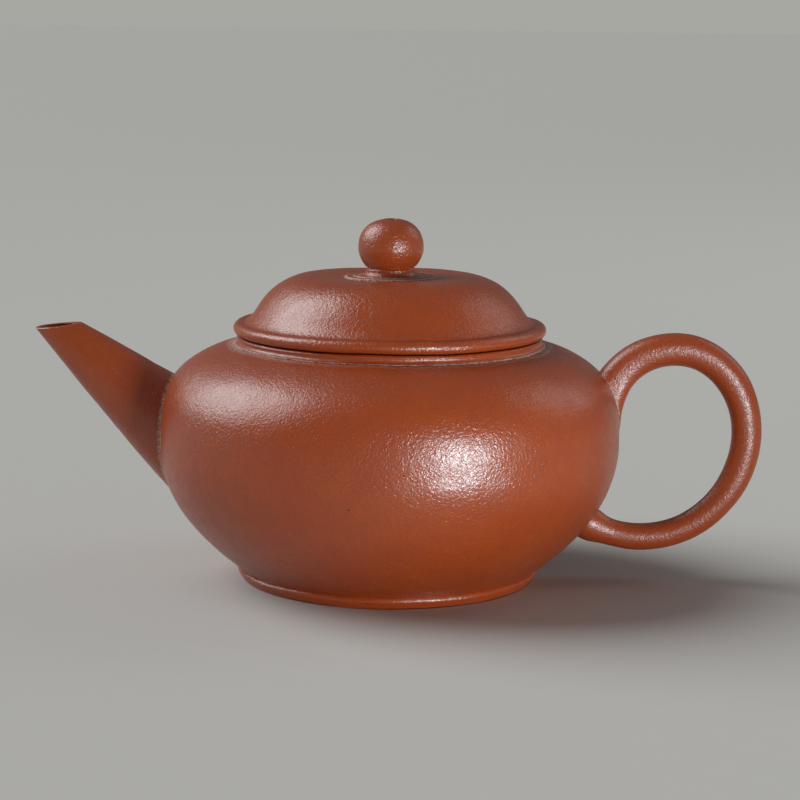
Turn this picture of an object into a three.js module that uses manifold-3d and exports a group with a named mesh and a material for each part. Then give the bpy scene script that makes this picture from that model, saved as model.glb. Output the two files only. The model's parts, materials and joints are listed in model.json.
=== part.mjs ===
// A small round clay teapot with a straight spout, an ear-shaped handle and a lift-off lid.
// Millimetres, +Z up, the table at Z = 0. The spout points along -X and the handle along +X.
import * as THREE from "three";
import { mergeVertices } from "three/addons/utils/BufferGeometryUtils.js";
import Module from "manifold-3d";

const wasm = await Module();
wasm.setup();

// Joints between luted pieces, and round pieces' smoothness
const slipGap = 0.2; // layer of slip between two turned pieces
const cutGap = 0.3; // layer of slip where a piece is trimmed to the belly
const roundSides = 56;
const tubeSides = 16;

// Foot
const footHeight = 1.95;
const footRadius = 24.7;
const footWidth = 3.5;
const footEdge = 0.35; // rounding of the ring's four edges
const footLedge = 0.55; // how far the ring stands out from the belly above it

// Belly: a squarish curve above its widest height and a rounder one below
const bellyRadius = 38;
const bellyHeight = 22.4;
const wall = 2.5;
const shoulderPower = 3.28;
const bowlPower = 1.87;
const shoulderHeight = 38.9; // flat seat that the neck stands on
const seamDrop = 1.9; // from the seat down to where the belly's side meets the shoulder disc
const outerTurn = THREE.MathUtils.degToRad(10); // step along the outer surface
const innerTurn = THREE.MathUtils.degToRad(18); // step along the inner surface

// Neck
const neckRadius = 25.1;
const neckHeight = 1.5;
const neckLine = 0.25; // height of the thin line at its foot, and how far it stands out
const neckLedge = 1; // flat seat outside the neck
const neckThickness = 3.1;
const mouthEdge = 0.35;

// Lid
const lidSeat = 0.18; // gap between the mouth and the resting lid
const brimThickness = 2.31;
const brimOverhang = 0.6; // brim beyond the neck
const beadWidth = 1.7;
const flangeClearance = 0.3;
const flangeThickness = 2.2;
const flangeDepth = 8;
const domeHeight = 7.31;
const domeFootInset = 2.7; // from the brim's edge to the foot of the dome
const domeCorner = 6.55; // width of the dome's rounded corner
const domeTaper = 26.6; // height in which the dome would narrow by a factor e
const domePower = 2.67;
const lidWall = 2.5;

// Knob
const stepRadius = 7.4; // low round step in the crown, under the knob's seat
const stepHeight = 0.3; // the crown falls this far towards the step's foot
const seatHeight = 1.1;
const seatRadius = 4.35;
const seatWaist = 0.35;
const knobRadius = 5.33;
const knobRise = 4.9; // from its widest height to its top
const knobDrop = 5.15; // the same downwards, to where the curve would close
const knobRisePower = 2.35;
const knobDropPower = 1.75;
const knobFootRadius = 4;
const ventRadius = 1;

// Spout: a straight cone, its mouth cut level
const spoutReach = 17.35; // from the belly to the middle of the mouth
const spoutRise = 0.95; // mouth above the neck
const spoutSlope = THREE.MathUtils.degToRad(39.9);
const spoutFlare = Math.tan(THREE.MathUtils.degToRad(11.2));
const spoutTipRadius = 2.68;
const spoutLip = 1;
const spoutWall = 2.2; // at its root
const mouthTilt = 0.115; // radians that the mouth's cut leans down at the tip

// Strainer: a pierced ball behind the spout
const strainerRadius = 8.2;
const strainerWall = 1.5;
const strainerHole = 0.9;
const strainerRings = [
  { holes: 1, tilt: 0 },
  { holes: 6, tilt: 0.42 },
  { holes: 9, tilt: 0.84 },
];

// Handle: its centre line is four quarter arcs, and its section thins from top to bottom
const handleReach = 21.25; // from the belly to the furthest point
const handleTopReach = 9.2;
const handleFootReach = 4.3;
const handleTopDrop = 1.85; // below the mouth
const handleTopArc = 12;
const handleFootArc = 19;
const handleFootRise = 4.95; // above the foot ring
const handleFarRise = 2.4; // furthest point above the belly's widest height
const handleThick = 5.9;
const handleThin = 4.1;
const handleWidthRatio = 1.06; // width across the handle against its thickness
const handleSteps = 36;

// Heights and radii that follow from the driving sizes
const seamHeight = shoulderHeight - seamDrop;
const mouthRadius = neckRadius - neckThickness;
const mouthHeight = shoulderHeight + neckHeight;
const brimBottom = mouthHeight + lidSeat;
const brimTop = brimBottom + brimThickness;
const brimRadius = neckRadius + brimOverhang;
const domeFoot = brimRadius - domeFootInset;
const crownHeight = brimTop + domeHeight;
const flangeRadius = mouthRadius - flangeClearance;
const flangeBore = flangeRadius - flangeThickness;
const baseHeight = footHeight + slipGap;
const baseTop = baseHeight + wall;
const seatBottom = crownHeight + slipGap;
const knobBottom = seatBottom + seatHeight + slipGap;
const bowlDrop = curveSpan(bellyHeight - footHeight, footRadius - footLedge, bowlPower);
const shoulderRise = curveSpan(shoulderHeight - bellyHeight, neckRadius + neckLedge, shoulderPower);

// Full half height of a curve that passes through a given height and radius
function curveSpan(height, radius, power) {
  return height / (1 - (radius / bellyRadius) ** power) ** (1 / power);
}

// ---- solids ----

function solidOf(geometry) {
  const bare = geometry.clone();
  bare.deleteAttribute("normal");
  bare.deleteAttribute("uv");
  const merged = mergeVertices(bare);
  return new wasm.Manifold(
    new wasm.Mesh({
      numProp: 3,
      vertProperties: merged.attributes.position.array,
      triVerts: new Uint32Array(merged.index.array),
    }),
  );
}

function geometryOf(solid) {
  const mesh = solid.getMesh();
  const geometry = new THREE.BufferGeometry();
  geometry.setAttribute("position", new THREE.BufferAttribute(mesh.vertProperties, 3));
  geometry.setIndex(new THREE.BufferAttribute(mesh.triVerts, 1));
  geometry.computeVertexNormals();
  return geometry;
}

// A turned piece about Z from [radius, height] pairs, listed up its outside and back down inside
function turned(profile, sides = roundSides) {
  const points = profile.map(([radius, height]) => new THREE.Vector2(radius, height));
  if (profile[0][0] > 0) points.push(points[0].clone());
  return new THREE.LatheGeometry(points, sides).rotateX(Math.PI / 2);
}

// Points on part of an oval of the given power, between two turns from its widest height
function ovalLine(radius, rise, power, centreHeight, from, to, step) {
  const count = Math.max(2, Math.ceil(Math.abs(to - from) / step));
  return Array.from({ length: count + 1 }, (_, i) => {
    const turn = from + ((to - from) * i) / count;
    const across = Math.max(Math.cos(turn), 0) ** (2 / power);
    const up = Math.abs(Math.sin(turn)) ** (2 / power);
    return [radius * across, centreHeight + Math.sign(turn) * rise * up];
  });
}

// ---- belly ----

const bellySpan = (height) => (height > bellyHeight ? shoulderRise : bowlDrop);
const bellyPower = (height) => (height > bellyHeight ? shoulderPower : bowlPower);

// Turn from the widest height at which the belly, inset by a depth, reaches a height
function turnAt(height, inset) {
  const share = Math.abs(height - bellyHeight) / (bellySpan(height) - inset);
  const turn = Math.asin(Math.min(1, share) ** (bellyPower(height) / 2));
  return Math.sign(height - bellyHeight) * turn;
}

function bellyRadiusAt(height, inset) {
  return (bellyRadius - inset) * Math.cos(turnAt(height, inset)) ** (2 / bellyPower(height));
}

// The belly's curve, inset by a depth, between two turns, listed upwards
function bellyLine(from, to, inset, step) {
  const half = (rise, power, start, end) =>
    start < end ? ovalLine(bellyRadius - inset, rise - inset, power, bellyHeight, start, end, step) : [];
  const bowl = half(bowlDrop, bowlPower, from, Math.min(to, 0));
  const top = half(shoulderRise, shoulderPower, Math.max(from, 0), to);
  return [...bowl, ...top.slice(bowl.length ? 1 : 0)];
}

const seamTurn = turnAt(seamHeight, 0);
const seamGapTurn = slipGap / shoulderRise;

function bodyWall() {
  const outside = bellyLine(turnAt(baseHeight, 0), seamTurn, 0, outerTurn);
  const inside = bellyLine(turnAt(baseTop, wall), seamTurn, wall, innerTurn);
  const bottom = [bellyRadiusAt(baseHeight, wall), baseHeight];
  const shell = solidOf(turned([...outside, ...inside.reverse(), bottom]));
  return geometryOf(shell.subtract(solidOf(spoutPassage())));
}

// Its edge runs parallel to the foot of the belly's side, a layer of slip away
function baseDisc() {
  const low = bellyRadiusAt(baseHeight, wall);
  const high = bellyRadiusAt(baseTop, wall);
  const gap = (slipGap * Math.hypot(high - low, wall)) / wall;
  return turned([
    [0, baseHeight],
    [low - gap, baseHeight],
    [high - gap, baseTop],
    [0, baseTop],
  ]);
}

function shoulderDisc() {
  const from = seamTurn + seamGapTurn;
  const outside = bellyLine(from, turnAt(shoulderHeight, 0), 0, outerTurn);
  const inside = bellyLine(from, turnAt(shoulderHeight - wall, wall), wall, innerTurn);
  const bore = [
    [mouthRadius, shoulderHeight],
    [mouthRadius, shoulderHeight - wall],
  ];
  return turned([...outside, ...bore, ...inside.reverse()]);
}

// The belly as one full solid, swollen by a gap: what the spout and the handle are trimmed to
function bellySolid(gap) {
  const line = bellyLine(turnAt(baseHeight, -gap), turnAt(shoulderHeight, -gap), -gap, outerTurn);
  return solidOf(turned([[0, baseHeight], ...line, [0, shoulderHeight]]));
}

function footRing() {
  const bore = footRadius - footWidth;
  return turned([
    [bore + footEdge, 0],
    [footRadius - footEdge, 0],
    [footRadius - footEdge / 2, footEdge],
    [footRadius, footHeight - footEdge],
    [footRadius - footEdge / 2, footHeight],
    [bore + footEdge, footHeight],
    [bore, footHeight - footEdge],
    [bore, footEdge],
  ]);
}

function neckRing() {
  const bottom = shoulderHeight + slipGap;
  const middle = (bottom + mouthHeight) / 2;
  return turned([
    [mouthRadius, bottom],
    [neckRadius + neckLine, bottom],
    [neckRadius + neckLine, bottom + neckLine],
    [neckRadius - neckLine, middle],
    [neckRadius, mouthHeight - mouthEdge],
    [neckRadius - mouthEdge / 2, mouthHeight],
    [mouthRadius + mouthEdge, mouthHeight],
    [mouthRadius, mouthHeight - mouthEdge],
  ]);
}

// ---- spout ----

const spoutMouth = new THREE.Vector3(-bellyRadius - spoutReach, 0, mouthHeight + spoutRise);
const spoutAxis = new THREE.Vector3(Math.cos(spoutSlope), 0, -Math.sin(spoutSlope));

// Distance along the spout's axis from its mouth to the belly, inset by a depth
function spoutLengthTo(inset) {
  let near = 0;
  let far = spoutReach + bellyRadius;
  for (let i = 0; i < 40; i += 1) {
    const middle = (near + far) / 2;
    const point = spoutPoint(middle);
    if (Math.abs(point.x) > bellyRadiusAt(point.z, inset)) near = middle;
    else far = middle;
  }
  return near;
}

function spoutPoint(distance) {
  return spoutMouth.clone().addScaledVector(spoutAxis, distance);
}

// A cone on the spout's axis between two distances from the mouth
function spoutCone(from, to, radiusFrom, radiusTo) {
  const cone = new THREE.CylinderGeometry(radiusTo, radiusFrom, to - from, tubeSides * 2);
  cone.applyQuaternion(new THREE.Quaternion().setFromUnitVectors(new THREE.Vector3(0, 1, 0), spoutAxis));
  const middle = spoutPoint((from + to) / 2);
  return cone.translate(middle.x, middle.y, middle.z);
}

const spoutRoot = spoutLengthTo(0);
const rootRadius = spoutTipRadius + spoutRoot * spoutFlare;
const passageRadius = rootRadius - spoutWall;

// The way through the belly's wall behind the spout
function spoutPassage() {
  const reach = strainerRadius;
  return spoutCone(spoutRoot - reach, spoutLengthTo(wall) + reach, passageRadius, passageRadius);
}

function spout() {
  const above = spoutTipRadius * 4;
  const below = spoutRoot + rootRadius * 2;
  const spoutRadiusAt = (distance) => spoutTipRadius + distance * spoutFlare;
  const boreFlare = (passageRadius - spoutTipRadius + spoutLip) / spoutRoot;
  const boreRadiusAt = (distance) => spoutTipRadius - spoutLip + distance * boreFlare;
  const outside = spoutCone(-above / 2, below, spoutRadiusAt(-above / 2), spoutRadiusAt(below));
  const bore = spoutCone(-above, below + 1, boreRadiusAt(-above / 2) / 2, boreRadiusAt(below + 1));
  const lopped = new THREE.BoxGeometry(above * 4, above * 4, above * 2).translate(0, 0, above);
  lopped.rotateY(-mouthTilt).translate(spoutMouth.x, 0, spoutMouth.z);
  const tube = solidOf(outside).subtract(solidOf(lopped)).subtract(solidOf(bore));
  return geometryOf(tube.subtract(bellySolid(cutGap)));
}

function strainerDome() {
  const inset = wall + cutGap;
  const centre = spoutPoint(spoutLengthTo(inset));
  const ball = (radius) =>
    solidOf(new THREE.SphereGeometry(radius, tubeSides, tubeSides / 2).translate(centre.x, 0, centre.z));
  const cavity = bellyLine(turnAt(baseHeight, inset), seamTurn, inset, innerTurn);
  const room = solidOf(turned([[0, cavity[0][1]], ...cavity, [0, cavity.at(-1)[1]]]));
  let shell = ball(strainerRadius).subtract(ball(strainerRadius - strainerWall)).intersect(room);
  for (const { holes, tilt } of strainerRings)
    for (let i = 0; i < holes; i += 1)
      shell = shell.subtract(solidOf(strainerPin(centre, tilt, (i / holes) * 2 * Math.PI)));
  return geometryOf(shell);
}

// A pin along one hole of the strainer, tilted from the way into the pot
function strainerPin(centre, tilt, around) {
  const length = strainerRadius * 1.5;
  const pin = new THREE.CylinderGeometry(strainerHole, strainerHole, length, 8);
  pin.translate(0, length / 2, 0).rotateX(tilt).rotateY(around).rotateZ(-Math.PI / 2);
  return pin.translate(centre.x, 0, centre.z);
}

// ---- handle ----

// Centre line in the X-Z plane, from inside the shoulder over the top and back into the bowl
function handleLine() {
  const top = mouthHeight - handleTopDrop;
  const foot = footHeight + handleFootRise;
  const far = bellyHeight + handleFarRise;
  const topX = bellyRadius + handleTopReach;
  const farX = bellyRadius + handleReach;
  const footX = bellyRadius + handleFootReach;
  const line = new THREE.Path();
  line.moveTo(topX - handleTopArc - wall * 2, top - handleTopArc - wall * 2);
  line.absarc(topX, top - handleTopArc, handleTopArc, Math.PI, Math.PI / 2, true);
  line.absellipse(topX, far, farX - topX, top - far, Math.PI / 2, 0, true);
  line.absellipse(footX, far, farX - footX, far - foot, 0, -Math.PI / 2, true);
  line.absarc(footX, foot + handleFootArc, handleFootArc, -Math.PI / 2, -Math.PI * 0.72, true);
  return line;
}

// A cylinder laid along the centre line, its section growing from the thin end to the thick one
function handle() {
  const line = handleLine();
  const rod = new THREE.CylinderGeometry(1, 1, 1, tubeSides, handleSteps);
  const place = rod.attributes.position;
  for (let i = 0; i < place.count; i += 1) {
    const along = 0.5 - place.getY(i);
    const point = line.getPointAt(along);
    const way = line.getTangentAt(along);
    const half = THREE.MathUtils.lerp(handleThick, handleThin, along) / 2;
    const out = place.getX(i) * half;
    place.setXYZ(i, point.x - way.y * out, -place.getZ(i) * half * handleWidthRatio, point.y + way.x * out);
  }
  return geometryOf(solidOf(rod).subtract(bellySolid(cutGap)));
}

// ---- lid ----

function lidPlate() {
  const edge = brimRadius - beadWidth - slipGap;
  return turned([
    [flangeBore, brimBottom],
    [edge, brimBottom],
    [edge, brimTop],
    [flangeBore, brimTop],
  ]);
}

function lidRimBead() {
  const half = brimThickness / 2;
  const round = ovalLine(half, half, 2, brimBottom + half, -Math.PI / 2, Math.PI / 2, outerTurn * 3);
  const outside = round.map(([radius, height]) => [brimRadius - half + radius, height]);
  return turned([[brimRadius - beadWidth, brimBottom], ...outside, [brimRadius - beadWidth, brimTop]]);
}

// The dome's curve, inset by a depth, from the brim up to the edge of the crown
function domeLine(inset, step) {
  const rise = domeHeight - inset;
  const from = Math.asin((slipGap / rise) ** (domePower / 2));
  const corner = ovalLine(domeCorner - inset, rise, domePower, brimTop, from, Math.PI / 2, step);
  const spreadAt = (height) => (domeFoot - domeCorner) * Math.exp((brimTop - height) / domeTaper);
  return corner.map(([radius, height]) => [radius + spreadAt(height), height]);
}

function lidDome() {
  return turned([
    ...domeLine(0, outerTurn),
    [stepRadius, crownHeight - stepHeight],
    [stepRadius, crownHeight],
    [ventRadius, crownHeight],
    [ventRadius, crownHeight - lidWall],
    ...domeLine(lidWall, innerTurn).reverse(),
  ]);
}

function lidFlange() {
  const top = brimBottom - slipGap;
  const bottom = top - flangeDepth;
  return turned([
    [flangeBore + mouthEdge, bottom],
    [flangeRadius - mouthEdge, bottom],
    [flangeRadius, bottom + mouthEdge],
    [flangeRadius, top],
    [flangeBore, top],
    [flangeBore, bottom + mouthEdge],
  ]);
}

function knobSeat() {
  const top = seatBottom + seatHeight;
  return turned(
    [
      [ventRadius, seatBottom],
      [seatRadius, seatBottom],
      [seatRadius - seatWaist / 2, seatBottom + seatHeight / 3],
      [seatRadius - seatWaist, top - seatHeight / 3],
      [knobFootRadius, top],
      [ventRadius, top],
    ],
    roundSides / 2,
  );
}

function knob() {
  const share = (knobFootRadius / knobRadius) ** (knobDropPower / 2);
  const start = -Math.acos(share);
  const centre = knobBottom + knobDrop * Math.sin(-start) ** (2 / knobDropPower);
  const end = Math.acos((ventRadius / knobRadius) ** (knobRisePower / 2));
  const lower = ovalLine(knobRadius, knobDrop, knobDropPower, centre, start, 0, outerTurn * 1.5);
  const upper = ovalLine(knobRadius, knobRise, knobRisePower, centre, 0, end, outerTurn * 1.5);
  return turned([[ventRadius, knobBottom], ...lower, ...upper.slice(1)], roundSides / 2);
}

// ---- assembly ----

const clay = (color, roughness) => new THREE.MeshStandardMaterial({ color, roughness, metalness: 0 });
const burnishedClay = () => clay("#8c4128", 0.42);
const plainClay = () => clay("#7d3a24", 0.7);

const piece = (name, geometry, material) => {
  const mesh = new THREE.Mesh(geometry, material);
  mesh.name = name;
  return mesh;
};

const pot = new THREE.Group();
pot.add(piece("body_wall", bodyWall(), burnishedClay()));
pot.add(piece("base_disc", baseDisc(), plainClay()));
pot.add(piece("shoulder_disc", shoulderDisc(), burnishedClay()));
pot.add(piece("foot_ring", footRing(), burnishedClay()));
pot.add(piece("neck_ring", neckRing(), burnishedClay()));
pot.add(piece("spout", spout(), burnishedClay()));
pot.add(piece("strainer_dome", strainerDome(), plainClay()));
pot.add(piece("handle", handle(), burnishedClay()));

const lid = new THREE.Group();
lid.add(piece("lid_plate", lidPlate(), burnishedClay()));
lid.add(piece("lid_rim_bead", lidRimBead(), burnishedClay()));
lid.add(piece("lid_dome", lidDome(), burnishedClay()));
lid.add(piece("lid_flange", lidFlange(), plainClay()));
lid.add(piece("knob_seat", knobSeat(), burnishedClay()));
lid.add(piece("knob", knob(), burnishedClay()));

const teapot = new THREE.Group();
teapot.add(pot, lid);

// The origin is the middle of the whole teapot's length, on the table
const whole = new THREE.Box3().setFromObject(teapot);
teapot.position.x = -(whole.min.x + whole.max.x) / 2;

export default teapot;
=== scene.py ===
import json
import math
import bpy
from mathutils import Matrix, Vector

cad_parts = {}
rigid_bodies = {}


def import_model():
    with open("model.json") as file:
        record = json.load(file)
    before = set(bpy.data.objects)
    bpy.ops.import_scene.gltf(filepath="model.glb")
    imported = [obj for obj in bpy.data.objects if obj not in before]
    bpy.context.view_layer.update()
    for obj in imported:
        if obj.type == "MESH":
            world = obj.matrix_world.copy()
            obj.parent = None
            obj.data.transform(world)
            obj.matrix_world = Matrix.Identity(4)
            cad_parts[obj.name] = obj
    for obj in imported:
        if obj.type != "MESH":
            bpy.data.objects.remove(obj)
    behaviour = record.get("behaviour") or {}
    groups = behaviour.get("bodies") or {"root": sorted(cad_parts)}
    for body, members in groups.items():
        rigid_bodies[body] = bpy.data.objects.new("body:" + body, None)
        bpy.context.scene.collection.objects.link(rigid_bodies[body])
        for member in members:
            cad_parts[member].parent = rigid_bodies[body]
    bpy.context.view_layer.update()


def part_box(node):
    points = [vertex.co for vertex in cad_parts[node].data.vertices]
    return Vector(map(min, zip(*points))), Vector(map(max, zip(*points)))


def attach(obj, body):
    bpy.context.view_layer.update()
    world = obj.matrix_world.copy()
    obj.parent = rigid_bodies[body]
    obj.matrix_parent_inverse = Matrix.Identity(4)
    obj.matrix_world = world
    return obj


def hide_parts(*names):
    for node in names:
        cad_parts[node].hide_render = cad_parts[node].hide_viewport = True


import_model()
print("frame loaded")

mm = 0.001

# Everything below is in millimetres, up from the table and out from the line that the pot turns about
plateLow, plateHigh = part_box("lid_plate")
axisX = (plateLow.x + plateHigh.x) / 2


def levels(node):
    low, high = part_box(node)
    return low.z / mm, high.z / mm


def reach(node):
    low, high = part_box(node)
    return (high.y - low.y) / 2 / mm


def spot(x, z):
    return (axisX + x * mm, 0, z * mm)


footTop = levels("foot_ring")[1]
footEdge = reach("foot_ring")
wallFoot, wallTop = levels("body_wall")
baseTop = levels("base_disc")[1]
shoulderTop = levels("shoulder_disc")[1]
neckTop = levels("neck_ring")[1]
plateFoot, plateTop = levels("lid_plate")
brimReach = reach("lid_rim_bead")
flangeFoot = levels("lid_flange")[0]
flangeReach = reach("lid_flange")
crownTop = levels("lid_dome")[1]
knobFoot, knobTop = levels("knob")
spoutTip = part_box("spout")[0].x / mm - axisX / mm

belly = {
    "radius": reach("body_wall"),
    "widest": 22.4,          # height of the belly's widest line
    "bowlPower": 1.87,       # 2 is an ellipse, more is squarer
    "shoulderPower": 3.28,
    "footIn": 0.55,          # the belly meets the foot this far inside its edge
    "ledge": 26.1,           # where the shoulder meets the flat under the neck
    "wall": 2.5,
    "flare": 0.42,           # how far the wall swells out again just above the foot
    "flareHeight": 0.75,
}


def curveSpan(height, radius, power):
    return height / (1 - (radius / belly["radius"]) ** power) ** (1 / power)


bowlSpan = curveSpan(belly["widest"] - footTop, footEdge - belly["footIn"], belly["bowlPower"])
shoulderSpan = curveSpan(shoulderTop - belly["widest"], belly["ledge"], belly["shoulderPower"])


def bellyRadius(height, inset=0):
    above = height > belly["widest"]
    span = (shoulderSpan if above else bowlSpan) - inset
    power = belly["shoulderPower"] if above else belly["bowlPower"]
    share = min(1, abs(height - belly["widest"]) / span)
    return (belly["radius"] - inset) * (1 - share ** power) ** (1 / power)


# Lines to model from

def along(low, high, count):
    return [low + (high - low) * step / count for step in range(count + 1)]


def straight(start, end, count):
    return list(zip(along(start[0], end[0], count), along(start[1], end[1], count)))


def arc(centre, radii, fromTurn, toTurn, count):
    turns = [math.radians(turn) for turn in along(fromTurn, toTurn, count)]
    return [(centre[0] + radii[0] * math.cos(t), centre[1] + radii[1] * math.sin(t)) for t in turns]


def bellyLine(low, high, inset, count):
    return [(bellyRadius(z, inset), z) for z in along(low, high, count)]


# Modelling steps that several pieces share

def deselect():
    if bpy.context.object and bpy.context.object.mode != "OBJECT":
        bpy.ops.object.mode_set(mode="OBJECT")
    bpy.ops.object.select_all(action="DESELECT")


def drawLine(name, outline, fromX):
    deselect()
    bpy.ops.mesh.primitive_plane_add(size=mm, location=(0, 0, 0))
    bpy.context.object.name = name
    bpy.ops.object.mode_set(mode="EDIT")
    bpy.ops.mesh.select_all(action="SELECT")
    bpy.ops.mesh.merge(type="CENTER")
    bpy.ops.transform.translate(value=(fromX + outline[0][0] * mm, 0, outline[0][1] * mm))
    for here, there in zip(outline, outline[1:]):
        step = ((there[0] - here[0]) * mm, 0, (there[1] - here[1]) * mm)
        bpy.ops.mesh.extrude_region_move(TRANSFORM_OT_translate={"value": step})
    return bpy.context.object


def mergeDoubles():
    bpy.ops.mesh.select_all(action="SELECT")
    bpy.ops.mesh.remove_doubles(threshold=0.002 * mm)


def turnPiece(name, outline, sides=288, centreX=axisX):
    piece = drawLine(name, outline, centreX)
    bpy.ops.mesh.select_all(action="SELECT")
    bpy.ops.mesh.spin(steps=sides, angle=math.tau, center=(centreX, 0, 0), axis=(0, 0, 1))
    mergeDoubles()
    bpy.ops.mesh.normals_make_consistent(inside=False)
    bpy.ops.object.mode_set(mode="OBJECT")
    return piece


def setPlace(piece, place, turn):
    piece.rotation_euler = turn
    piece.location = place
    deselect()
    piece.select_set(True)
    bpy.context.view_layer.objects.active = piece
    bpy.ops.object.transform_apply(location=True, rotation=True, scale=True)


def cut(piece, cutter, operation="DIFFERENCE"):
    deselect()
    bpy.context.view_layer.objects.active = piece
    trim = piece.modifiers.new("trim", "BOOLEAN")
    trim.operation = operation
    trim.solver = "EXACT"
    trim.object = cutter
    bpy.ops.object.modifier_apply(modifier=trim.name)
    bpy.data.objects.remove(cutter)


# The same slight unevenness runs through the whole pot, so that its joints stay closed
handwork = {"beats": 0.34, "beatSize": 13, "dents": 0.075, "dentSize": 3.2}


def shapeByHand(piece):
    deselect()
    bpy.context.view_layer.objects.active = piece
    for depth, size in ("beats", "beatSize"), ("dents", "dentSize"):
        waves = bpy.data.textures.new("clay " + depth, "CLOUDS")
        waves.cloud_type = "COLOR"
        waves.noise_scale = handwork[size] * mm
        waves.noise_depth = 1
        push = piece.modifiers.new(depth, "DISPLACE")
        push.texture = waves
        push.texture_coords = "LOCAL"
        push.direction = "RGB_TO_XYZ"
        push.strength = handwork[depth] * mm
        push.mid_level = 0.5
        bpy.ops.object.modifier_apply(modifier=push.name)


def finishPiece(piece, node, body, finish):
    shapeByHand(piece)
    piece.select_set(True)
    bpy.ops.object.shade_smooth_by_angle(angle=math.radians(32))
    piece.data.materials.clear()
    piece.data.materials.append(finish)
    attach(piece, body)
    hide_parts(node)


# Clay finishes

class Wire:
    def __init__(self, tree, socket=None):
        self.tree = tree
        self.socket = socket

    def add(self, kind, settings, sockets, out=0):
        node = self.tree.nodes.new("ShaderNode" + kind)
        for setting, value in settings.items():
            setattr(node, setting, value)
        for name, value in sockets.items():
            if isinstance(value, Wire):
                self.tree.links.new(value.socket, node.inputs[name])
            else:
                node.inputs[name].default_value = value
        return Wire(self.tree, node.outputs[out] if node.outputs else None)

    def maths(self, operation, first, second=0.0):
        return self.add("Math", {"operation": operation}, {0: first, 1: second})

    def __add__(self, other):
        return self.maths("ADD", self, other)

    def __sub__(self, other):
        return self.maths("SUBTRACT", self, other)

    def __mul__(self, other):
        return self.maths("MULTIPLY", self, other)

    def __truediv__(self, other):
        return self.maths("DIVIDE", self, other)

    def __pow__(self, other):
        return self.maths("POWER", self, other)

    def __gt__(self, other):
        return self.maths("GREATER_THAN", self, other)

    def __lt__(self, other):
        return self.maths("LESS_THAN", self, other)

    def __rsub__(self, other):
        return self.maths("SUBTRACT", other, self)

    def __rtruediv__(self, other):
        return self.maths("DIVIDE", other, self)

    def __abs__(self):
        return self.maths("ABSOLUTE", self)

    __radd__ = __add__
    __rmul__ = __mul__


def fade(value, start, end):
    ends = {"Value": value, "From Min": start, "From Max": end}
    return value.add("MapRange", {"interpolation_type": "SMOOTHSTEP"}, ends)


def noise(place, size, detail=2.0, rough=0.5, twist=0.0):
    sockets = {"Vector": place, "Scale": 1 / size, "Detail": detail, "Roughness": rough, "Distortion": twist}
    return place.add("TexNoise", {}, sockets)


def tint(share, first, second):
    return share.add("Mix", {"data_type": "RGBA"}, {0: share, 6: first, 7: second}, 2)


def coordinates(place):
    return [place.add("SeparateXYZ", {}, {0: place}, axis) for axis in range(3)]


def turnRadius(place):
    x, y, z = coordinates(place)
    return (x * x + y * y) ** 0.5


def bellyDistance(place):
    height = coordinates(place)[2]
    above = height > belly["widest"]
    span = above * (shoulderSpan - bowlSpan) + bowlSpan
    power = above * (belly["shoulderPower"] - belly["bowlPower"]) + belly["bowlPower"]
    out = (turnRadius(place) / belly["radius"]) ** power
    up = (abs(height - belly["widest"]) / span) ** power
    return (out + up - 1) * (belly["radius"] / power)


burnish = {
    "tone": (0.295, 0.041, 0.004, 1),         # fired red clay
    "warmTone": (0.315, 0.047, 0.005, 1),
    "deepTone": (0.235, 0.030, 0.004, 1),
    "pitTone": (0.07, 0.018, 0.008, 1),
    "speckTone": (0.42, 0.24, 0.15, 1),
    "scaleTone": (0.50, 0.41, 0.35, 1),       # pale tea-stained lime in the corners
    "patchSize": 16,
    "cloudSize": 2.6,
    "cloudShare": 0.35,
    "roughness": 0.34,
    "gloss": 0.75,
    "skin": 0.044,                            # depth of the skin's fine bumps
    "skinSize": 0.45,
    # painted shade: how far the dips of the skin's fine bumps are darkened
    "dipShade": 0.3,
    "ripple": 0.03,
    "rippleSize": 1.5,
    "grain": 0.005,
    "grainSize": 0.2,
    "pitSize": 0.2,
    "pitSpacing": 2.7,
    "pitDepth": 0.09,
    "pitChance": 0.38,
    "speckChance": 0.1,
    "scaleDepth": 0.03,
}

bareClay = dict(burnish, roughness=0.66, skin=0.035, grain=0.014, pitDepth=0.05)


def pitsAndSpecks(place, look):
    cells = {"Vector": place, "Scale": 1 / look["pitSpacing"], "Randomness": 1.0}
    near = place.add("TexVoronoi", {}, cells, "Distance") * look["pitSpacing"]
    lots = place.add("TexVoronoi", {}, cells, "Color")
    pitLot = lots.add("SeparateColor", {}, {0: lots}, 0)
    speckLot = lots.add("SeparateColor", {}, {0: lots}, 1)
    size = look["pitSize"]
    ragged = near + (noise(place, 0.35, 1) - 0.5) * size
    pit = fade(ragged, size, size * 0.45) * (pitLot > 1 - look["pitChance"])
    speck = fade(ragged, size * 0.9, size * 0.5) * (speckLot < look["speckChance"])
    return pit, speck


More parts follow.
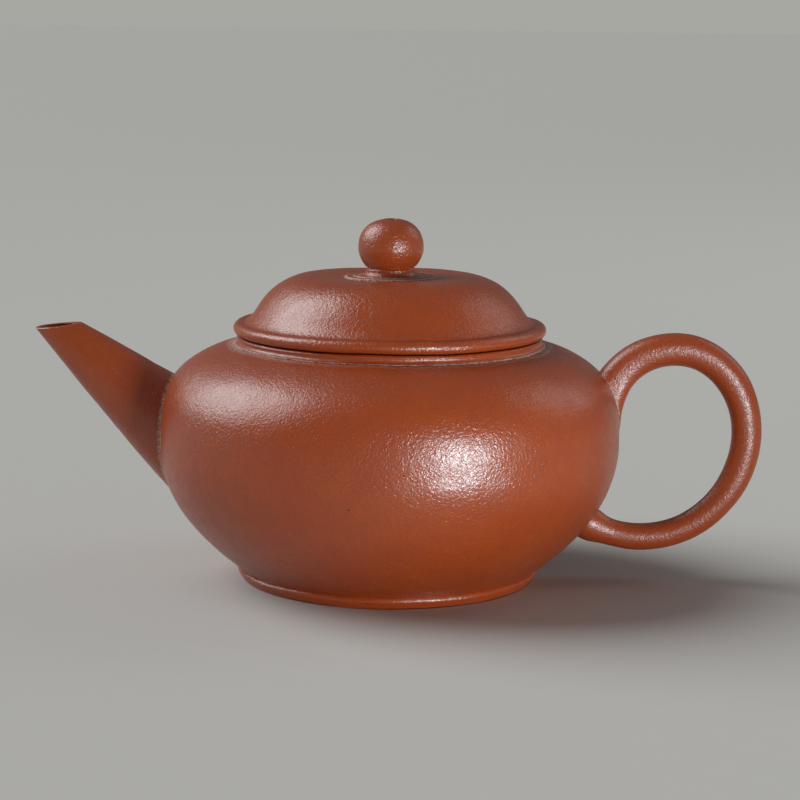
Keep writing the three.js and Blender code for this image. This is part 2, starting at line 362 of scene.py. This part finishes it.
def makeFinish(name, look, scale=None):
    finish = bpy.data.materials.new(name)
    finish.use_nodes = True
    tree = finish.node_tree
    tree.nodes.clear()
    start = Wire(tree)
    here = start.add("TexCoord", {}, {}, "Object")
    centre = {"Vector": here, "Location": (-axisX / mm, 0, 0), "Scale": (1 / mm, 1 / mm, 1 / mm)}
    place = start.add("Mapping", {}, centre)

    patches = fade(noise(place, look["patchSize"], 3, 0.6), 0.38, 0.66)
    clouds = fade(noise(place, look["cloudSize"], 3, 0.65), 0.32, 0.72)
    pit, speck = pitsAndSpecks(place, look)
    skin = noise(place, look["skinSize"], 1.5, 0.5, 0.8)
    ripple = noise(place, look["rippleSize"], 1.5, 0.5)
    grain = noise(place, look["grainSize"], 1.5, 0.6)

    colour = tint(patches, look["tone"], look["warmTone"])
    colour = tint(clouds * look["cloudShare"], colour, look["deepTone"])
    colour = tint(pit, colour, look["pitTone"])
    colour = tint(speck * 0.6, colour, look["speckTone"])
    # Painted shade: the colour darkens in the dips of the skin's fine bumps, so that their grain shows
    # outside the highlights.
    colour = tint(fade(skin, 0.55, 0.35) * look["dipShade"], colour, look["deepTone"])
    height = skin * (look["skin"] * 2) + ripple * look["ripple"] + grain * look["grain"]
    height = height - pit * look["pitDepth"]
    roughness = look["roughness"] + (grain - 0.5) * 0.16 + (clouds - 0.5) * 0.06 + pit * 0.3

    if scale:
        crust = scale(place)
        colour = tint(crust, colour, look["scaleTone"])
        roughness = roughness + crust * 0.35
        height = height + crust * look["scaleDepth"] * noise(place, 0.4, 2)

    bump = start.add("Bump", {}, {"Strength": 1.0, "Distance": mm, "Height": height})
    clay = start.add("BsdfPrincipled", {}, {
        "Base Color": colour, "Roughness": roughness, "Normal": bump, "Specular IOR Level": look["gloss"]})
    start.add("OutputMaterial", {}, {"Surface": clay})
    return finish


spoutShape = {
    "mouthX": spoutTip + 3.05,     # middle of the mouth
    "mouthZ": neckTop + 0.95,
    "slope": 39.9,
    "flare": 11.2,
    "tipRadius": 2.68,
    "lip": 0.8,
    "lipRound": 0.28,
    "rootWall": 2.2,
    "rootDepth": 9,                # its root runs on this far, and is then cut to the belly
    "mouthTilt": 0.115,
    "slim": 0.4,                   # its underside draws in this much towards the root
    "slimFrom": 18,
    "slimOver": 12,
    "sides": 160,
}
spoutFlare = math.tan(math.radians(spoutShape["flare"]))
spoutWay = (math.cos(math.radians(spoutShape["slope"])), 0, -math.sin(math.radians(spoutShape["slope"])))


def spoutPoint(distance):
    return (spoutShape["mouthX"] + spoutWay[0] * distance, spoutShape["mouthZ"] + spoutWay[2] * distance)


def spoutLengthTo(inset):
    near = 0
    far = 40
    while far - near > 0.001:
        middle = (near + far) / 2
        x, z = spoutPoint(middle)
        near, far = (middle, far) if abs(x) > bellyRadius(z, inset) else (near, middle)
    return near


spoutRoot = spoutLengthTo(0)
rootRadius = spoutShape["tipRadius"] + spoutRoot * spoutFlare
passageRadius = rootRadius - spoutShape["rootWall"]

lidShape = {
    "footRadius": 23.0,      # the dome's foot
    "corner": 6.55,
    "taper": 26.6,
    "power": 2.67,
    "wall": 2.5,
    "cove": 1.7,             # hollow between the brim and the dome
    "coveBend": 1.55,
    "brimFall": 0.42,
    "beadTop": 0.36,
    "bead": 1.7,
    "outerStep": 7.4,        # two low steps up to the knob
    "innerStep": 6.05,
    "vent": 1,
}


# Pale lime, left where water stands

def spoutDistance(place):
    mouth = (-spoutShape["mouthX"], 0, -spoutShape["mouthZ"])
    apart = place.add("VectorMath", {"operation": "ADD"}, {0: place, 1: mouth})
    length = apart.add("VectorMath", {"operation": "DOT_PRODUCT"}, {0: apart, 1: spoutWay}, "Value")
    whole = apart.add("VectorMath", {"operation": "LENGTH"}, {0: apart}, "Value")
    across = (whole * whole - length * length) ** 0.5
    return across - length * spoutFlare - spoutShape["tipRadius"]


def broken(place, low, high, size):
    return fade(noise(place, size, 3, 0.6), low, high)


def neckScale(place):
    x, y, z = coordinates(place)
    radius = turnRadius(place)
    ends = abs(x) / radius      # it lies thickest towards the spout and the handle
    corner = fade(radius, 27.4, 25.7) * fade(z, 37.9, 38.5) * fade(z, 39.25, 39.05)
    return corner * (ends * ends * 0.6 + 0.4) * broken(place, 0.4, 0.6, 0.4)


def spoutScale(place):
    x = coordinates(place)[0]
    near = fade(spoutDistance(place), 0.4, 0.05) * fade(x, -30, -33)
    return near * broken(place, 0.38, 0.6, 0.45) * 0.7


def shoulderScale(place):
    return neckScale(place) + spoutScale(place)


def spoutRootScale(place):
    return fade(bellyDistance(place), 0.5, 0.05) * broken(place, 0.38, 0.6, 0.45) * 0.7


def handleRootScale(place):
    return fade(bellyDistance(place), 0.5, 0.1) * broken(place, 0.45, 0.62, 0.75) * 0.55


def stepScale(place):
    radius = turnRadius(place)
    outer = fade(abs(radius - lidShape["outerStep"] - 0.05), 0.4, 0.1) * 0.8
    inner = fade(abs(radius - lidShape["innerStep"] - 0.05), 0.3, 0.08) * 0.5
    seatCorner = fade(abs(radius - 5.1), 0.5, 0.2) * 0.5
    return (outer + inner + seatCorner) * broken(place, 0.36, 0.58, 0.35)


# Painted light: the spout's clay gets a lighter tone than the belly's, making up for the shade the belly
# casts on it from the front lamp; its stronger ripple is real.
spoutPaintedLightLook = dict(burnish, ripple=0.06, tone=(0.325, 0.046, 0.0045, 1))
handleLook = dict(burnish, skin=0.04, roughness=0.38)
neckLook = dict(burnish, skin=0.036)
lidLook = dict(burnish, skin=0.05, roughness=0.33)
knobLook = dict(burnish, skin=0.058, roughness=0.33)

bellySkin = makeFinish("burnished clay, belly", burnish, spoutScale)
shoulderSkin = makeFinish("burnished clay, shoulder", burnish, shoulderScale)
spoutSkin = makeFinish("burnished clay, spout", spoutPaintedLightLook, spoutRootScale)
handleSkin = makeFinish("burnished clay, handle", handleLook, handleRootScale)
neckSkin = makeFinish("burnished clay, neck", neckLook, neckScale)
lidSkin = makeFinish("burnished clay, lid", lidLook, stepScale)
knobSkin = makeFinish("burnished clay, knob", knobLook)
innerClay = makeFinish("plain clay", bareClay)
print("clay mixed")


# The pot

footShape = {"width": 3.5, "lift": 0.1, "roll": 0.72}


def footRing():
    low = footShape["lift"]
    roll = footShape["roll"]
    inner = footEdge - footShape["width"]
    outside = arc((footEdge - 0.62, low + 0.18), (0.22, 0.18), -90, -10, 4)
    outside += arc((footEdge - 0.55, footTop - 0.62), (roll, roll), -24, 78, 14)
    top = [(footEdge - 1.3, footTop + 0.16), (inner + 0.3, footTop + 0.15)]
    inside = arc((inner + 0.35, low + 0.3), (0.35, 0.3), 180, 270, 4)
    ring = turnPiece("foot_ring_clay", outside + top + inside + [outside[0]])
    finishPiece(ring, "foot_ring", "pot", neckSkin)


def bodyWall():
    foot = footTop - 0.05
    side = []
    for radius, z in bellyLine(foot, wallTop - 0.02, 0, 110):
        swell = belly["flare"] * math.exp((footTop - z) / belly["flareHeight"])
        side.append((radius + swell, z))
    rim = [(bellyRadius(wallTop), wallTop), (bellyRadius(wallTop, belly["wall"]), wallTop)]
    inside = bellyLine(wallTop, baseTop, belly["wall"], 60)[1:]
    bottom = [(bellyRadius(foot, belly["wall"]), foot), side[0]]
    wall = turnPiece("body_wall_clay", side + rim + inside + bottom)
    deselect()
    cut(wall, rootBore())
    finishPiece(wall, "body_wall", "pot", bellySkin)


def rootBore():
    start = spoutRoot - 6
    end = spoutRoot + spoutShape["rootDepth"]
    x, z = spoutPoint((start + end) / 2)
    bpy.ops.mesh.primitive_cylinder_add(
        vertices=96, radius=passageRadius * mm, depth=(end - start) * mm,
        location=spot(x, z), rotation=(0, math.radians(90 + spoutShape["slope"]), 0))
    return bpy.context.object


baseShape = {"fillet": 1.1, "sag": 0.05}


def baseDisc():
    foot = wallFoot - 0.1
    fillet = baseTop + baseShape["fillet"]
    edge = bellyRadius(baseTop, belly["wall"])
    top = [(edge, fillet)] + arc((edge - 1.6, fillet), (1.55, 1.15), -8, -84, 8)
    sag = [(edge * share, baseTop - baseShape["sag"]) for share in (0.8, 0.5, 0.25, 0)]
    under = [(0, foot - 0.15), (10, foot - 0.12), (19, foot), (bellyRadius(foot, belly["wall"]), foot)]
    disc = turnPiece("base_disc_clay", top + sag + under + [top[0]])
    finishPiece(disc, "base_disc", "pot", innerClay)


neckBore = flangeReach + 0.3
neckRadius = reach("neck_ring") - 0.25


def shoulderDisc():
    side = [(bellyRadius(wallTop), wallTop)] + bellyLine(wallTop + 0.02, shoulderTop - 0.05, 0, 40)
    seat = [(belly["ledge"] - 0.35, shoulderTop), (neckBore + 0.1, shoulderTop)]
    bore = [(neckBore, shoulderTop - 0.1)]
    under = shoulderTop - belly["wall"]
    edge = arc((neckBore + 0.6, under + 0.6), (0.6, 0.6), 180, 260, 5)
    inside = bellyLine(under, wallTop, belly["wall"], 16)
    disc = turnPiece("shoulder_disc_clay", side + seat + bore + edge + inside + [side[0]])
    finishPiece(disc, "shoulder_disc", "pot", shoulderSkin)


def neckRing():
    low = shoulderTop - 0.05
    line = arc((neckRadius + 0.12, low + 0.16), (0.34, 0.14), -90, 60, 7)
    waist = arc((neckRadius + 0.5, low + 0.86), (0.62, 0.6), 232, 140, 9)
    lip = arc((neckRadius - 0.46, neckTop - 0.42), (0.46, 0.42), -14, 92, 10)
    mouth = arc((neckBore + 0.4, neckTop - 0.4), (0.4, 0.4), 92, 180, 6)
    ring = turnPiece("neck_ring_clay", line + waist + lip + mouth + [(neckBore, low), line[0]])
    finishPiece(ring, "neck_ring", "pot", neckSkin)


rootSink = 0.9      # spout and handle reach this far into the belly's wall


def bellyCore(inset):
    line = bellyLine(wallFoot, shoulderTop, inset, 60)
    return turnPiece("core", [(0, wallFoot)] + line + [(0, shoulderTop)], 144)


def spout():
    tip = spoutShape["tipRadius"]
    beyond = spoutShape["rootDepth"]
    length = spoutRoot + beyond
    boreFlare = (passageRadius - tip + spoutShape["lip"]) / spoutRoot
    outside = []
    for d in [-beyond] + along(7, length, 40):
        slim = spoutShape["slim"] * (max(0, d - spoutShape["slimFrom"]) / spoutShape["slimOver"]) ** 2
        outside.append((tip + d * spoutFlare - slim, -d))
    inside = [(tip - spoutShape["lip"] + d * boreFlare, -d) for d in along(length, 7, 16) + [-beyond]]
    tube = turnPiece("spout_clay", outside + inside + [outside[0]], spoutShape["sides"], 0)
    mouth = spot(*spoutPoint(0))
    setPlace(tube, mouth, (0, math.radians(spoutShape["slope"] - 90), 0))
    cutMouth(mouth)
    roundLip(tube)
    cut(tube, bellyCore(rootSink))
    finishPiece(tube, "spout", "pot", spoutSkin)


def cutMouth(mouth):
    tilt = spoutShape["mouthTilt"]
    bpy.ops.object.mode_set(mode="EDIT")
    bpy.ops.mesh.select_all(action="SELECT")
    bpy.ops.mesh.bisect(plane_co=mouth, plane_no=(-math.sin(tilt), 0, math.cos(tilt)), clear_outer=True)
    bpy.ops.mesh.bridge_edge_loops()
    bpy.ops.object.mode_set(mode="OBJECT")


def roundLip(tube):
    lip = tube.modifiers.new("lip", "BEVEL")
    lip.width = spoutShape["lipRound"] * mm
    lip.segments = 3
    lip.limit_method = "ANGLE"
    lip.angle_limit = math.radians(15)
    bpy.ops.object.modifier_apply(modifier=lip.name)


strainer = {
    "radius": 8.2,
    "innerRadius": 6.7,
    "hole": 0.9,
    "rings": ((1, 0), (6, 0.42), (9, 0.84), (14, 1.2)),      # holes, and their angle from the middle
}


def strainerDome():
    place = spot(*spoutPoint(spoutLengthTo(belly["wall"])))
    outer = strainer["radius"]
    inner = strainer["innerRadius"]
    outline = arc((0, 0), (outer, outer), -90, 90, 24) + arc((0, 0), (inner, inner), 90, -90, 20)
    ball = turnPiece("strainer_dome_clay", outline + [outline[0]], 96, 0)
    setPlace(ball, place, (0, math.radians(90), 0))
    cut(ball, bellyCore(belly["wall"] - 0.3), "INTERSECT")
    for count, tilt in strainer["rings"]:
        for number in range(count):
            cut(ball, strainerPin(place, tilt, math.tau * number / count))
    finishPiece(ball, "strainer_dome", "pot", innerClay)


def strainerPin(place, tilt, around):
    length = 12
    bpy.ops.mesh.primitive_cylinder_add(
        vertices=16, radius=strainer["hole"] * mm, depth=length * mm, location=(0, 0, length / 2 * mm))
    pin = bpy.context.object
    bpy.ops.object.transform_apply(location=True, rotation=True, scale=True)
    pin.rotation_euler = (0, math.pi / 2 - tilt, 0)
    bpy.ops.object.transform_apply(location=True, rotation=True, scale=True)
    pin.rotation_euler = (around, 0, 0)
    pin.location = place
    return pin


handleShape = {
    "thick": 5.9,
    "thin": 4.1,
    "rootPower": 3.2,        # its root is squarish, and the loop becomes round further on
    "roundFrom": 20,
    "rootSwell": 0.09,
    "footSwell": 0.34,
    "rootThin": 0.72,        # it is thinner where it goes into the belly
    "sides": 56,
    "arcs": (                             # centre, radii, turn from and to, steps
        ((21.2, 26.55), (14, 14), -35, 0, 10),
        ((47.2, 26.55), (12, 12), 180, 90, 30),
        ((47.2, 24.8), (12.05, 13.75), 90, 0, 34),
        ((42.3, 24.8), (16.95, 17.9), 0, -90, 40),
        ((42.3, 25.9), (19, 19), -90, -129.6, 16),
    ),
}


def handlePath():
    path = []
    for centre, radii, start, end, count in handleShape["arcs"]:
        path += arc(centre, radii, start, end, count)[1 if path else 0:]
    return path


def heading(path, i):
    back = path[max(0, i - 1)]
    ahead = path[min(len(path) - 1, i + 1)]
    return math.atan2(ahead[1] - back[1], ahead[0] - back[0])


def handleWidth(walked, whole):
    thick = handleShape["thick"]
    plain = thick + (handleShape["thin"] - thick) * walked / whole
    root = handleShape["rootSwell"] * math.exp(-(max(0, walked - 12) / 4) ** 2)
    foot = handleShape["footSwell"] * math.exp(-(max(0, whole - walked - 4) / 2.3) ** 2)
    sunk = min(1, handleShape["rootThin"] + (1 - handleShape["rootThin"]) * walked / 9)
    return plain * (1 + root + foot) * sunk


def handleRing(first):
    half = handleShape["thick"] / 2
    flat = 2 / handleShape["rootPower"]
    ring = []
    for turn in along(0, 360, handleShape["sides"]):
        t = math.radians(turn)
        across = half * math.copysign(abs(math.cos(t)) ** flat, math.cos(t))
        ring.append((across, half * math.copysign(abs(math.sin(t)) ** flat, math.sin(t))))
    rod = drawLine("handle_clay", ring, 0)
    mergeDoubles()
    bpy.ops.transform.rotate(value=math.pi / 2, orient_axis="X", center_override=(0, 0, 0))
    bpy.ops.transform.translate(value=spot(*first))
    return rod


def handle():
    path = handlePath()
    steps = [math.dist(here, there) for here, there in zip(path, path[1:])]
    rod = handleRing(path[0])
    turned = math.pi / 2
    rounding = 1
    wide = handleShape["thick"]
    for i, (x, z) in enumerate(path):
        if i:
            step = ((x - path[i - 1][0]) * mm, 0, (z - path[i - 1][1]) * mm)
            bpy.ops.mesh.extrude_region_move(TRANSFORM_OT_translate={"value": step})
        turn = heading(path, i) - turned
        bpy.ops.transform.rotate(value=turn, orient_axis="Y", center_override=spot(x, z))
        turned = heading(path, i)
        if i > handleShape["roundFrom"] and rounding > 0.02:
            bpy.ops.transform.tosphere(value=0.1)
            rounding *= 0.9
            wide *= 1 + 0.008 * rounding      # rounding takes a little off its width
        width = handleWidth(sum(steps[:i]), sum(steps))
        bpy.ops.transform.resize(value=(width / wide,) * 3, center_override=spot(x, z))
        wide = width
    bpy.ops.mesh.edge_face_add()
    closeStart()
    cut(rod, bellyCore(rootSink))
    finishPiece(rod, "handle", "pot", handleSkin)


def closeStart():
    bpy.ops.mesh.select_all(action="DESELECT")
    bpy.ops.mesh.select_non_manifold()
    bpy.ops.mesh.edge_face_add()
    bpy.ops.mesh.select_all(action="SELECT")
    bpy.ops.mesh.normals_make_consistent(inside=False)
    bpy.ops.object.mode_set(mode="OBJECT")


# The lid

def domeRadius(height, inset=0):
    rise = crownTop - plateTop - inset
    share = min(1, (height - plateTop) / rise)
    corner = (lidShape["corner"] - inset) * (1 - share ** lidShape["power"]) ** (1 / lidShape["power"])
    spread = lidShape["footRadius"] - lidShape["corner"]
    return corner + spread * math.exp((plateTop - height) / lidShape["taper"])


def domeLine(low, inset, count):
    rise = crownTop - plateTop - inset
    line = []
    start = math.asin(min(1, max(0, (low - plateTop) / rise)) ** (lidShape["power"] / 2))
    for turn in along(start, math.pi / 2, count):
        height = plateTop + rise * math.sin(turn) ** (2 / lidShape["power"])
        line.append((domeRadius(height, inset), height))
    return line


flangeShape = {"thick": 2.2, "rim": 0.5}


def lidPlate():
    edge = brimReach - lidShape["bead"] + 0.05
    bore = flangeReach - flangeShape["thick"]
    coveTop = plateTop + lidShape["cove"]
    coveWidth = domeRadius(coveTop) - edge
    valley = plateTop - lidShape["brimFall"]
    cove = []
    for share in along(0, 1, 16):
        cove.append((edge + coveWidth * share, valley + (coveTop - valley) * share ** lidShape["coveBend"]))
    under = [(bore, coveTop), (bore, plateFoot + 0.2), (bore + 0.2, plateFoot), (edge, plateFoot)]
    plate = turnPiece("lid_plate_clay", cove + under + [cove[0]])
    finishPiece(plate, "lid_plate", "lid", lidSkin)


def lidRimBead():
    half = (plateTop - lidShape["beadTop"] - plateFoot) / 2
    inner = brimReach - lidShape["bead"]
    valley = plateTop - lidShape["brimFall"]
    bead = arc((brimReach - half, plateFoot + half), (half, half), -90, 84, 24)
    slope = [(inner + 0.36, valley + 0.03), (inner, valley)]
    ring = turnPiece("lid_rim_bead_clay", bead + slope + [(inner, plateFoot), bead[0]])
    finishPiece(ring, "lid_rim_bead", "lid", lidSkin)


def lidDome():
    coveTop = plateTop + lidShape["cove"]
    outer = lidShape["outerStep"]
    inner = lidShape["innerStep"]
    outside = domeLine(coveTop, 0, 48)
    crown = [(10.2, crownTop - 0.06), (8.6, crownTop - 0.2), (outer + 0.12, crownTop - 0.32)]
    mound = crown + arc((outer - 0.16, crownTop - 0.22), (0.18, 0.16), -20, 90, 6)
    mound += [(inner + 0.1, crownTop - 0.09)]
    mound += arc((inner - 0.16, crownTop - 0.03), (0.18, 0.15), -20, 100, 6)
    floor = crownTop - 0.02
    vent = [(5.1, floor), (lidShape["vent"], floor), (lidShape["vent"], crownTop - lidShape["wall"])]
    inside = domeLine(plateTop, lidShape["wall"], 30)[::-1][:-4]
    low = [(domeRadius(plateTop, lidShape["wall"]), coveTop), outside[0]]
    dome = turnPiece("lid_dome_clay", outside + mound + vent + inside + low)
    finishPiece(dome, "lid_dome", "lid", lidSkin)


def lidFlange():
    outer = flangeReach
    inner = outer - flangeShape["thick"]
    rim = flangeShape["rim"]
    low = flangeFoot
    top = plateFoot
    outline = [(outer - 0.1, top), (outer, top - 0.25)]
    outline += straight((outer, top - 0.25), (outer - 0.12, low + 0.6), 10)
    outline += arc((outer - 0.6, low + rim), (rim, rim), 0, -90, 5)
    outline += arc((inner + rim, low + rim), (rim, rim), -90, -180, 5)
    outline += straight((inner, low + 0.6), (inner - 0.2, top + 0.05), 10)
    flange = turnPiece("lid_flange_clay", outline + [outline[0]])
    finishPiece(flange, "lid_flange", "lid", innerClay)


def knobSeat():
    low = crownTop - 0.04
    top = knobFoot + 0.02
    vent = lidShape["vent"]
    hollow = arc((5.2, low + 0.95), (1.12, 0.95), -95, -165, 10)
    collar = arc((3.74, knobFoot - 0.58), (0.36, 0.34), -20, 62, 8)
    waist = [(3.82, knobFoot - 0.12), (3.88, top)]
    seat = turnPiece("knob_seat_clay", hollow + collar + waist + [(vent, top), (vent, low), hollow[0]], 160)
    finishPiece(seat, "knob_seat", "lid", knobSkin)


knobShape = {"rise": 4.9, "drop": 5.15, "risePower": 2.35, "dropPower": 1.75, "vent": 1.1}


def knobCurve(turns, rise, power):
    radius = reach("knob")
    middle = knobTop - knobShape["rise"]
    line = []
    for turn in turns:
        t = math.radians(turn)
        line.append((radius * math.cos(t) ** (2 / power), middle + rise * abs(math.sin(t)) ** (2 / power)))
    return line


def knob():
    foot = knobFoot + 0.05
    vent = knobShape["vent"]
    lower = [point for point in knobCurve(along(-60, 0, 24), -knobShape["drop"], knobShape["dropPower"])
             if point[1] > foot]
    upper = [point for point in knobCurve(along(2, 78, 36), knobShape["rise"], knobShape["risePower"])
             if point[0] > vent + 0.2]
    rim = arc((vent + 0.16, knobTop - 0.2), (0.16, 0.16), 80, 180, 6)
    inside = [(vent, knobTop - 3), (vent, foot)]
    ball = turnPiece("knob_clay", [(vent, foot)] + lower + upper + rim + inside, 192)
    finishPiece(ball, "knob", "lid", knobSkin)


footRing()
bodyWall()
baseDisc()
shoulderDisc()
neckRing()
print("pot turned")
spout()
strainerDome()
print("spout and strainer made")
handle()
print("handle made")
lidPlate()
lidRimBead()
lidDome()
lidFlange()
knobSeat()
knob()
print("lid turned")


# Table, lights and camera

studio = {
    "tableTone": (0.55, 0.52, 0.49, 1),
    "fibreTone": (0.50, 0.475, 0.45, 1),
    "tableSize": 60,                      # metres
    "air": (0.15, 0.15, 0.15, 1),
    "backdropTone": (0.385, 0.39, 0.36, 1),
    "windowTone": (0.92, 0.98, 1),
    "lampTone": (0.82, 0.94, 1),
    "aimHeight": 25,
}


def table():
    deselect()
    bpy.ops.mesh.primitive_plane_add(size=studio["tableSize"], location=(0, 0, 0))
    top = bpy.context.object
    top.name = "table"
    paper = bpy.data.materials.new("pale paper")
    paper.use_nodes = True
    paper.node_tree.nodes.clear()
    start = Wire(paper.node_tree)
    here = start.add("TexCoord", {}, {}, "Object")
    tone = tint(noise(here, 0.004, 3) * 0.3, studio["tableTone"], studio["fibreTone"])
    sheet = start.add("BsdfPrincipled", {}, {"Base Color": tone, "Roughness": 0.9, "Specular IOR Level": 0.2})
    start.add("OutputMaterial", {}, {"Surface": sheet})
    top.data.materials.append(paper)


def hangLamp(name, kind, turn, height, distance, energy, tone):
    a = math.radians(turn)
    e = math.radians(height)
    way = (math.sin(a) * math.cos(e), -math.cos(a) * math.cos(e), math.sin(e))
    target = spot(0, studio["aimHeight"])
    bpy.ops.object.light_add(type=kind, location=[t + w * distance for t, w in zip(target, way)])
    lamp = bpy.context.object
    lamp.name = name
    lamp.data.energy = energy
    lamp.data.color = tone
    lamp.visible_camera = False
    lamp.rotation_euler = (math.radians(90) - e, 0, a)
    return lamp


def softbox(name, turn, height, distance, size, energy, tone):
    box = hangLamp(name, "AREA", turn, height, distance, energy, tone)
    box.data.shape = "RECTANGLE"
    box.data.size, box.data.size_y = size
    return box


def lightOnlyPot(lamp):
    lit = bpy.data.collections.new("clay")
    for piece in bpy.data.objects:
        if piece.type == "MESH" and piece.name.endswith("_clay"):
            lit.objects.link(piece)
    lamp.light_linking.receiver_collection = lit


def lights():
    window = hangLamp("left window", "SUN", -106, 38, 0.75, 3.0, studio["windowTone"])
    window.data.angle = math.radians(50)
    front = softbox("front lamp", 33, -1, 0.33, (0.07, 0.045), 0.083, studio["lampTone"])
    front.data.spread = math.radians(50)
    lightOnlyPot(front)      # it stands low, and would leave a bright patch on the table
    softbox("right fill", 117, 33, 0.9, (0.5, 0.5), 0.8, studio["windowTone"])


def backdrop():
    world = bpy.context.scene.world or bpy.data.worlds.new("studio")
    bpy.context.scene.world = world
    world.use_nodes = True
    world.node_tree.nodes.clear()
    start = Wire(world.node_tree)
    seen = start.add("LightPath", {}, {}, "Is Camera Ray")
    sky = start.add("Background", {}, {"Color": tint(seen, studio["air"], studio["backdropTone"])})
    start.add("OutputWorld", {}, {"Surface": sky})
    bpy.context.scene.view_settings.view_transform = "Standard"


view = {"back": 381.7, "height": 91.2, "side": 1.77, "down": 9.18, "lens": 105.1, "roll": 0.012}


def camera():
    place = (axisX + view["side"] * mm, -view["back"] * mm, view["height"] * mm)
    bpy.ops.object.camera_add(location=place)
    eye = bpy.context.object
    eye.rotation_mode = "ZYX"
    eye.rotation_euler = (math.radians(90 - view["down"]), 0, view["roll"])
    eye.data.lens = view["lens"]
    eye.data.sensor_width = 36
    eye.data.clip_start = 0.01
    bpy.context.scene.camera = eye


table()
lights()
backdrop()
camera()
print("studio set")
